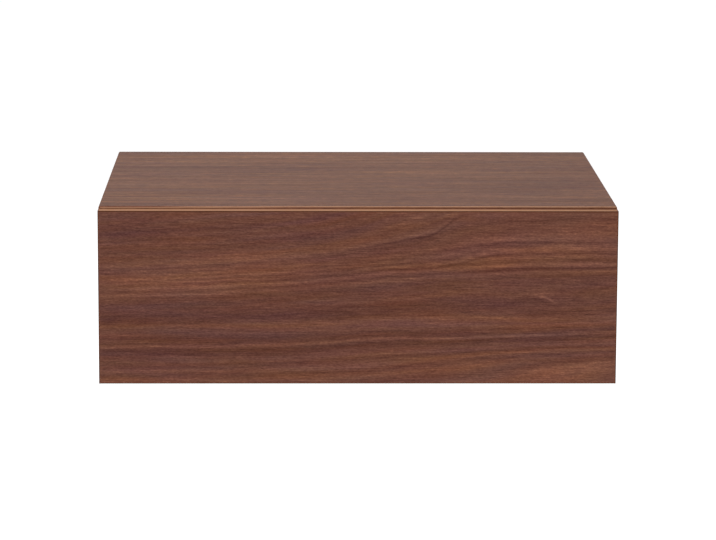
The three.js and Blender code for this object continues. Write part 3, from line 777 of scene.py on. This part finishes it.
def folded_sheet(path, thickness, ends, openings):
    """A long strip, bent alike above and below its middle line. The path is its middle surface, seen
    from the end, from where the flat web stops to the lip. The grid runs along the strip and round the
    section: up the front face, round the lip and down the back. Each face is the path moved by half
    the thickness along its normal. A wall closes the web's edge along an opening, and elsewhere the
    halves meet."""
    along, edge = web_edges(ends, openings)
    step = np.linalg.norm(path[1] - path[0])
    ahead = np.gradient(np.vstack([path[0] - [0, step], path]), axis=0)[1:]
    ahead /= np.linalg.norm(ahead, axis=1)[:, None]
    sideways = np.column_stack([-ahead[:, 1], ahead[:, 0]])
    lip = np.radians(lip_degrees)[:, None]
    faces = []
    for hand in (1, -1):
        bent = path + sideways * hand * thickness / 2
        lip_way = ahead[-1] * np.cos(lip) + sideways[-1] * hand * np.sin(lip)
        lip_round = path[-1] + lip_way * thickness / 2
        web_up = edge[:, None] + (path[0][1] - edge[:, None]) * np.array(web_shares)
        web = np.stack([np.full_like(web_up, bent[0][0]), web_up], -1)
        rest = np.broadcast_to(np.vstack([bent, lip_round]), (len(along), len(path) + 2, 2))
        faces.append(np.concatenate([web, rest], axis=1))
    front, back = faces
    section = np.concatenate([front, back[:, ::-1], front[:, :1]], axis=1)
    count, width = section.shape[:2]
    cell = grid_faces(count, width)
    kept = np.ones(cell.shape[:2], bool)
    kept[:, -1] = np.maximum(edge[1:], edge[:-1]) > 0
    half = width // 2
    corner = np.arange(count * width).reshape(count, width)[[0, -1]]
    near, far = corner[:, :half], corner[:, half : 2 * half][:, ::-1]
    caps = np.stack([near[:, :-1], near[:, 1:], far[:, 1:], far[:, :-1]], -1).reshape(-1, 4)
    quads = np.vstack([cell[kept], caps])
    out, up = section[..., 0], section[..., 1]
    upper = np.stack([out, along[:, None] + out * 0, up], -1).reshape(-1, 3)
    return np.vstack([upper, upper * [1, 1, -1]]), np.vstack([quads, quads + len(upper)])


def ball_rows(middle, first, pitch, count):
    """Balls in two rows, above and below the middle line: a grid of latitude and longitude for each."""
    latitude = np.linspace(-np.pi / 2, np.pi / 2, ball_steps + 1)[:, None]
    longitude = np.linspace(0, 2 * np.pi, 2 * ball_steps + 1)[None, :]
    belt = np.cos(latitude)
    globe = [belt * np.cos(longitude), np.sin(latitude) + longitude * 0, belt * np.sin(longitude)]
    places = [(middle[0], first + pitch * n, middle[1] * way) for n in range(count) for way in (-1, 1)]
    points = np.array(places)[:, None, None, :] + np.stack(globe, -1) * ball_radius
    starts = np.arange(len(places))[:, None, None, None] * latitude.size * longitude.size
    return points.reshape(-1, 3), (grid_faces(latitude.size, longitude.size) + starts).reshape(-1, 4)


sheet = 1.2
cage_sheet = 0.6
ball_radius = 1.6
ball_room = 0.2
race = ball_radius + ball_room + sheet / 2
corner_bend = 1.6
# Places in a member's end view are millimetres out from the case side and up from the middle line.
outer_ball = (5.4, 19.8)
inner_ball = (8.485, 16.123)
outer_corner, middle_corner, inner_corner = (2.2, 20.6), (4.8, 15.8), (10.5, 12.12)
lip_angle = 29
outer_path = [bend(outer_corner, corner_bend, 180, 90), bend(outer_ball, race, 90, lip_angle)]
middle_path = [
    bend(middle_corner, corner_bend, 180, 90),
    bend(outer_ball, race, 270, 310),
    bend(inner_ball, race, 130, lip_angle)[1:],
]
inner_path = [bend(inner_corner, corner_bend, 0, 90), bend(inner_ball, race, 270, 229)]
slot, case_hole, drawer_hole = (26, 12), (7.2, 7.2), (3.7, 3.7)
outer_openings = [(-118, *case_hole), (-76, *slot), (76, *slot), (118, *case_hole)]
middle_openings = [(-76, *slot), (68, *slot)]
inner_openings = [(-110, *drawer_hole), *middle_openings, (102, *drawer_hole)]
# Each member's path, where it starts and stops along the slide, and its openings.
members = {
    "outer": (outer_path, (-150, 150), outer_openings),
    "intermediate": (middle_path, (-150, 142), middle_openings),
    "inner": (inner_path, (-150, 142), inner_openings),
}
cage_ends = (-73, 65)
cage_window = (-4, 112, 12)
cage_bend = 0.8
cage_past_ball = 0.7
# Each cage's web stands that far out from the case side.
cages = {"outer": (1.9, outer_ball), "inner": (4.5, inner_ball)}
for side in ("left", "right"):
    low, high = [np.array(corner) * 1000 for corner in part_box(f"slide_outer_{side}")]
    way = 1 if side == "left" else -1
    slide_foot = (low + high) / 2
    slide_foot[0] = low[0] if way > 0 else high[0]
    for member, (path, ends, openings) in members.items():
        points, faces = folded_sheet(np.vstack(path), sheet, ends, openings)
        computed_piece(f"slide_{member}_{side}", slide_foot + points * [way, 1, 1], faces, [zinc_sheet])
    for row, (web, ball) in cages.items():
        fold = bend((web + cage_bend, ball[1] - cage_bend), cage_bend, 180, 90)
        cage_path = np.vstack([fold, [ball[0] + cage_past_ball, ball[1]]])
        strip_points, strip_faces = folded_sheet(cage_path, cage_sheet, cage_ends, [cage_window])
        balls, ball_faces = ball_rows(ball, first=-59, pitch=22, count=6)
        points = np.vstack([strip_points, balls]) * [way, 1, 1]
        faces = np.vstack([strip_faces, ball_faces + len(strip_points)])
        kinds = np.repeat([0, 1], [len(strip_faces), len(ball_faces)])
        steels = [cage_steel, ball_steel]
        computed_piece(f"ball_cage_{row}_{side}", slide_foot + points, faces, steels, kinds)
    eased_copy(f"slide_rear_stop_{side}", stop_plastic, stop_arris)
    for index in (1, 2):
        case_node = f"slide_case_screw_{side}_{index}"
        drawer_node = f"slide_drawer_screw_{side}_{index}"
        turned_piece(case_node, *case_screw, zinc_bright, axis=0, way=way, twist=index + way)
        turned_piece(drawer_node, *drawer_screw, zinc_bright, axis=0, way=-way, twist=index - way)

# Drawer box: solid birch boards, dovetailed at all four corners and clear lacquered. Its bottom is a
# birch plywood panel, held in grooves.
birch_tints = [(236, 212, 174), (222, 194, 152), (202, 170, 124), (168, 132, 88)]
birch = {"ring": 5.0, "tints": birch_tints, "ring_share": 0.16, "Specular_IOR_Level": 0.35}
across_birch = solid_wood("birch_cross", along=0, pith=(-180, -400), **birch)
side_birch = solid_wood("birch_side", along=1, pith=(60, -380), **birch)
for board in ("sub_front", "drawer_back"):
    eased_copy(board, across_birch, sanded_arris)
for side in ("left", "right"):
    eased_copy(f"drawer_side_{side}", side_birch, sanded_arris)
bottom_low, bottom_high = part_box("drawer_bottom")
bottom_plies = (bottom_low[2] * 1000, (bottom_high[2] - bottom_low[2]) * 1000)
bottom_tints = {"pale": (228, 198, 156), "dark": (206, 170, 124)}
bottom_finish = plywood("birch_bottom", across=2, grain=0, plies=bottom_plies, **bottom_tints)
eased_copy("drawer_bottom", bottom_finish)

# Drawer front: one sheet of flat-cut walnut lying across a 12 mm board. Its figure climbs to the
# right, arches over and turns up steeply near the top, and has one small knot.
front_low, front_high = [[value * 1000 for value in corner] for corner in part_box("front_band_right")]
front_foot = front_low[2]


def climb(across, up):
    """How far the grain lines have climbed, in millimetres, at a place on the front: a steady curve, a
    broad arch, a steep swoop up at the top, a rise along the foot, and three gentle waves."""
    steady = ((across + 236) / 130) ** 2
    arch = bell(across, 108, 219) * bell(up, 132, 55) * 17
    swoop = rise(across, -74, 117) * rise(up, 102, 186) * 41.5
    foot = rise(across, -74, 227) * bell(up, 19, 15.6) * 13
    dip = bell(across, 195, 78) * bell(up, 66, 14) * -7
    crest = bell(across, 13, 45) * bell(up, 38, 15) * 2
    lift = rise(across, -129, 64) * bell(up, 90, 21) * 1.3
    return steady + arch + swoop + foot + dip + crest + lift


# Light and dark patches of the figure: where along and across the grain, reach along and across it,
# and tone.
front_patches = [
    (-200, 135, 40, 16, -0.16),
    (-120, 128, 60, 10, -0.06),
    (-20, 122, 35, 8, -0.07),
    (50, 113, 35, 7, 0.19),
    (60, 104.3, 40, 0.9, -0.2),
    (-110, 103, 60, 6, 0.18),
    (-150, 88, 75, 8, 0.3),
    (-75, 94, 30, 8, 0.1),
    (60, 84, 60, 5, 0.06),
    (160, 90, 80, 7, 0.16),
    (122, 83, 22, 1.2, 0.2),
    (122, 88, 22, 1.1, 0.16),
    (200, 92, 30, 8, 0.1),
    (-160, 66, 80, 5, -0.18),
    (-130, 57, 100, 4, -0.13),
    (0, 70, 80, 4, -0.08),
    (0, 60, 70, 4, -0.13),
    (100, 62, 45, 3.5, -0.12),
    (200, 66, 30, 3, -0.17),
    (60, 48, 60, 4, 0.05),
    (125, 50, 25, 1.6, 0.2),
    (5, 54, 45, 1.8, -0.12),
    (-216, 56, 9, 4, -0.3),
    (-150, 45, 80, 3, -0.2),
    (-170, 40, 60, 2.5, -0.18),
    (-60, 39, 50, 3, -0.14),
    (60, 39, 60, 2.5, -0.09),
    (-150, 27, 90, 4, -0.18),
    (20, 27, 80, 3.5, -0.15),
    (150, 27, 60, 3.5, -0.14),
    (-120, 20, 80, 3, -0.1),
    (20, 11, 60, 4, 0.1),
    (150, 11, 60, 3, 0.08),
    (-150, 2, 80, 3, 0.12),
    (0, 1, 60, 4, 0.14),
    (110, -1, 50, 5, 0.2),
    (185, -9, 50, 4, 0.28),
]

# Golden patches: where across and up the front, reach each way, and amount.
golden_patches = [
    (45, 138, 30, 5, 0.4),
    (97, 145, 11, 2.5, 0.5),
    (148, 119, 32, 3, 0.45),
    (119, 107, 16, 4, 0.45),
    (60, 20, 60, 6, 0.3),
    (10, 58, 25, 3, 0.4),
]
# The darkest lines. Each starts at a height at the front's middle, has a slope, and rises between two
# places by a height. Then come the place where it is strongest, its reach, and its tone. A fainter pale
# line lies above each.
dark_lines = [
    (118.9, 0.19, 62, 89, 11.5, 46, 50, -0.4),
    (112.5, 0, 84, 128, 12, 165, 65, -0.3),
    (100.6, 0.01, 55, 130, 12.5, 120, 80, -0.28),
    (96, 0.008, 92, 132, 4.5, 140, 90, -0.16),
]
dark_breadth = 1.2
pale_above, pale_breadth, pale_strength = 3, 1.8, 0.4

front_veneer = named_finish("walnut_drawer_front", **walnut_even)
x, y, z = place_mm(front_veneer)
front_up = z - front_foot
wander = cells(x, front_up, x * 0, 60, 20, seed=61.0, detail=1.0) * 0.8
grain = front_up - climb(x, front_up) + wander
uneven = cells(x, grain, x * 0, 45, 5, seed=65.0, detail=1.0) * 0.4 + 1.18
broad = x * 0
for across, up, reach, breadth, tone in front_patches:
    broad = broad + bell(x, across, reach) * bell(grain, up, breadth) * tone
figure = ring_tone(grain) * uneven + broad - 0.08
warmth = broad
for across, up, reach, breadth, amount in golden_patches:
    warmth = warmth + bell(x, across, reach) * bell(front_up, up, breadth) * amount
for start, slope, low, high, by, across, reach, tone in dark_lines:
    over_line = front_up - rise(x, low, high) * by - x * slope - start
    line = bell(over_line, 0, dark_breadth) - bell(over_line, pale_above, pale_breadth) * pale_strength
    figure = figure + bell(x, across, reach) * line * uneven * tone
# One small knot shows as a pale tick that bends down to the right, with a shadow under it and another
# lower down: where across, reach, height, breadth and tone.
tick_middle, tick_height, tick_curve = 149, 78.4, 0.0125
above_tick = front_up - tick_height + (x - tick_middle) ** 2 * tick_curve
for across, reach, up, breadth, tone in ((162, 8, 0, 1.2, 0.65), (153, 15, -4, 2.4, -0.34)):
    figure = figure + bell(x, across, reach) * bell(above_tick, up, breadth) * tone
figure = figure + bell(x, 156, 12) * bell(front_up, 63, 3.4) * -0.2
walnut(front_veneer, x, front_up, grain, figure, seed=71.0, ringed=0.35, warmth=warmth)
eased_copy("drawer_front", front_veneer)

# Front edge strips: 1 mm strips on the four edges of the drawer front. Their flat sides are a paler,
# orange walnut. They are darker along their front arris, and have painted shadow in a band at the back.
pale_edge_tints = [(142, 96, 66), (170, 120, 86), (190, 140, 102)]
front_half, front_top, front_back = front_high[0], front_high[2], front_high[1]
arris_width, width_blur = 0.8, 0.1
arris_depth, depth_blur = 1.5, 0.3
# The painted shadow along the strips' back edge: its reach at the right, the stretch over which it grows,
# and its tone.
shadow_reach, shadow_growth, shadow_tone = 5.5, (50, 250), 0.45


def flat_side_up(finish, x, y, z):
    """The flat sides of the top and bottom strips."""
    return rise(facing(finish, 2), 0.7, 0.9)


def flat_side_out(finish, x, y, z):
    """The flat sides of the left and right strips."""
    return rise(facing(finish, 0), 0.7, 0.9)


def dark_arris_and_back_shadow(finish, x, y, z):
    """Dark on the strip's face towards the room, but for a thin line next to the veneer, and over its
    arris a little way back. The top and bottom strips' flat sides also have a painted shadow in a band
    along their back edge, which grows to the right."""
    to_side = front_half - finish.maths("ABSOLUTE", x)
    to_end = finish.maths("MINIMUM", front_top - z, z - front_foot)
    from_edge = finish.maths("MINIMUM", to_side, to_end)
    near_edge = rise(from_edge, arris_width + width_blur, arris_width - width_blur)
    behind = y - front_low[1]
    front_line = near_edge * rise(behind, arris_depth + depth_blur, arris_depth - depth_blur)
    shadow_front = front_back - y - rise(x, *shadow_growth) * shadow_reach
    at_surface = rise(to_end, 0.2, 0.1)
    back_shadow = rise(shadow_front, depth_blur, -depth_blur) * at_surface * shadow_tone
    return finish.maths("MAXIMUM", front_line, back_shadow)


for side in ("top", "bottom", "left", "right"):
    level = side in ("top", "bottom")
    along_strip = 0 if level else 2
    shares = (flat_side_up if level else flat_side_out, dark_arris_and_back_shadow)
    strip = strip_finish(f"walnut_front_strip_{side}", along_strip, *shares, pale_edge_tints)
    eased_copy(f"front_band_{side}", strip)

# Bumpers: soft moulded domes of clear silicone, which let the drawer close quietly. Each has a flat
# back that is stuck behind one of the front's corners.
silicone_tints = [(204, 204, 200), (226, 226, 222)]
silicone = clouded("silicone", silicone_tints, (2, 2), seed=91.0, roughness=0.4)
pad_low, pad_high = [np.array(corner) * 1000 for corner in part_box("bumper_lower_left")]
pad_radius, pad_height = (pad_high[0] - pad_low[0]) / 2, pad_high[1] - pad_low[1]
# Height over the dome is the pad's height times (1 - radius share to the 2.5) to the 1 / 2.5.
dome = 2.5
dome_rows = 13
pad_share = np.sin(np.linspace(0, np.pi / 2, dome_rows))[:, None] * np.ones_like(turn_angles)
dome_radius = np.vstack([pad_share, turn_angles * 0]) * pad_radius
rounded = np.maximum(1 - pad_share**dome, 0) ** (1 / dome)
dome_height = np.vstack([rounded, turn_angles * 0]) * pad_height
for row in ("lower", "upper"):
    for side in ("left", "right"):
        turned_piece(f"bumper_{row}_{side}", dome_radius, dome_height, silicone, axis=1, way=1)
